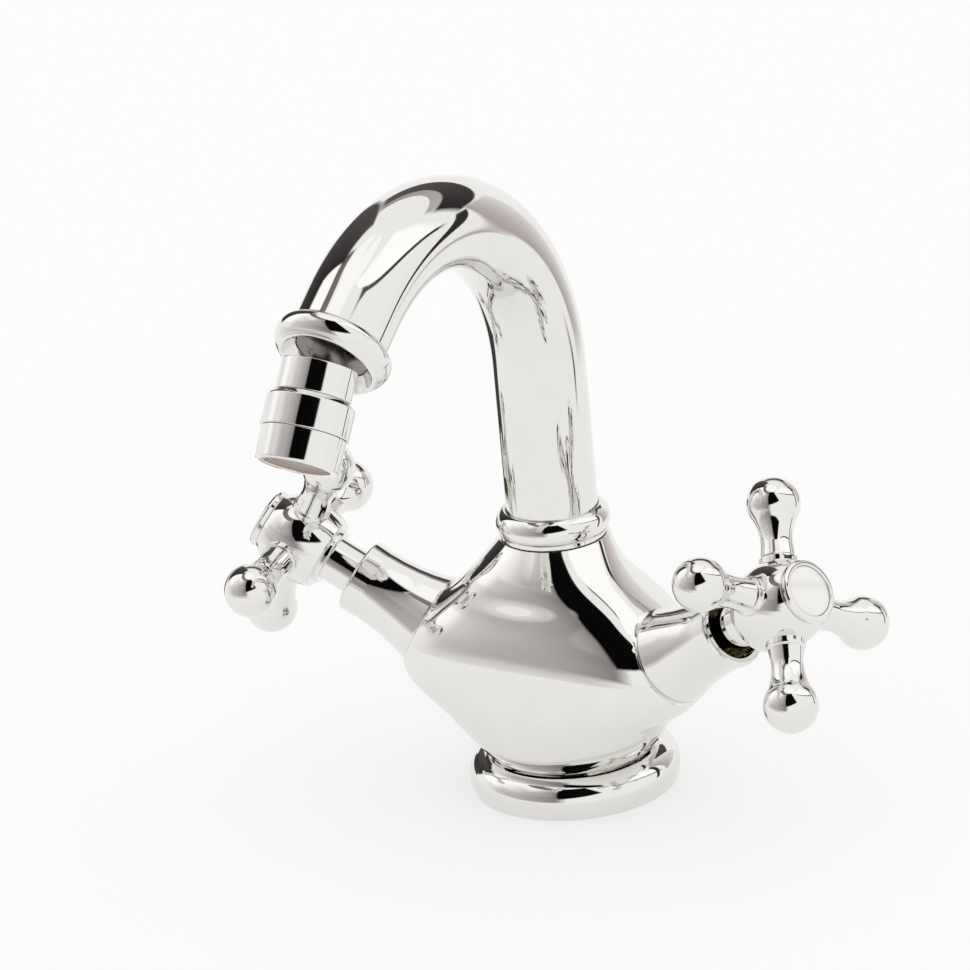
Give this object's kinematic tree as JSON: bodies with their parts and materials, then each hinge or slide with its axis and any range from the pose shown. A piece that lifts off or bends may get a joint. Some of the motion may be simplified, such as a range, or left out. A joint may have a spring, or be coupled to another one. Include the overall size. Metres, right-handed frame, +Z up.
{
  "type": "bidet mixer tap",
  "caption": "Deck-mounted chrome bidet mixer with cross handles, a swivelling swan-neck spout and a ball-joint aerator that tilts the jet.",
  "frame": {"origin": "middle of the underside of the base ring, on the axis of the spout's foot", "axes": "+Z up out of the deck, -Y towards the outlet of the spout, +X to the cold handle"},
  "size_m": [0.1708, 0.1379, 0.1675],
  "materials": {
    "polished_chrome": "mirror-polished chrome plate on brass",
    "satin_steel": "satin dark plate on the swivel ball and stem",
    "plain_brass": "turned and cast brass, unplated",
    "stainless_steel": "plain stainless screw and clip",
    "black_rubber": "moulded black sealing rubber",
    "white_ceramic": "polished white alumina, carried as a light gloss solid",
    "white_porcelain": "glossy white index button",
    "acetal_plastic": "white low-friction acetal",
    "mesh_plastic": "pale grey moulded mesh"
  },
  "bodies": {
    "tap_body": {"base_ring": "polished_chrome", "base_gasket": "black_rubber", "mixer_body": "polished_chrome", "thrust_washer": "acetal_plastic", "spout_collar": "polished_chrome", "left_seat_seal": "black_rubber", "left_fixed_disc": "white_ceramic", "left_headwork_body": "plain_brass", "left_bell_cover": "polished_chrome", "right_seat_seal": "black_rubber", "right_fixed_disc": "white_ceramic", "right_headwork_body": "plain_brass", "right_bell_cover": "polished_chrome"},
    "left_handle": {"left_moving_disc": "white_ceramic", "left_spindle": "plain_brass", "left_spindle_o_rings": "black_rubber", "left_spindle_clip": "stainless_steel", "left_cross_handle": "polished_chrome", "left_handle_screw": "stainless_steel", "left_index_bezel": "polished_chrome", "left_index_disc": "white_porcelain"},
    "right_handle": {"right_moving_disc": "white_ceramic", "right_spindle": "plain_brass", "right_spindle_o_rings": "black_rubber", "right_spindle_clip": "stainless_steel", "right_cross_handle": "polished_chrome", "right_handle_screw": "stainless_steel", "right_index_bezel": "polished_chrome", "right_index_disc": "white_porcelain"},
    "spout": {"spout_tube": "polished_chrome", "spout_spigot": "plain_brass", "spout_o_rings": "black_rubber", "outlet_ring": "polished_chrome", "swivel_ball": "satin_steel"},
    "ball_cradle": {"ball_seat": "acetal_plastic"},
    "aerator": {"swivel_cap": "polished_chrome", "swivel_carrier": "polished_chrome", "ball_seal": "black_rubber", "aerator_gasket": "black_rubber", "aerator_housing": "polished_chrome", "aerator_insert": "acetal_plastic", "aerator_mesh": "mesh_plastic"}
  },
  "joints": [
    {"name": "spout_swivel", "type": "hinge", "parent": "tap_body", "child": "spout", "pos_m": [0, 0, 0.0605], "axis": [0, 0, 1], "continuous": true},
    {"name": "left_handle_turn", "type": "hinge", "parent": "tap_body", "child": "left_handle", "pos_m": [-0.04179, -0.00662, 0.04422], "axis": [-0.8528, -0.1351, 0.5045], "range_deg": [0, 90]},
    {"name": "right_handle_turn", "type": "hinge", "parent": "tap_body", "child": "right_handle", "pos_m": [0.04179, -0.00662, 0.04422], "axis": [0.8528, -0.1351, 0.5045], "range_deg": [0, 90]},
    {"name": "aerator_nod", "type": "hinge", "parent": "spout", "child": "ball_cradle", "pos_m": [0, -0.09465, 0.13393], "axis": [-1, 0, 0], "range_deg": [0, 40]},
    {"name": "aerator_sway", "type": "hinge", "parent": "ball_cradle", "child": "aerator", "pos_m": [0, -0.09465, 0.13393], "axis": [0, 0.829, -0.5592], "range_deg": [-12, 12]}
  ]
}
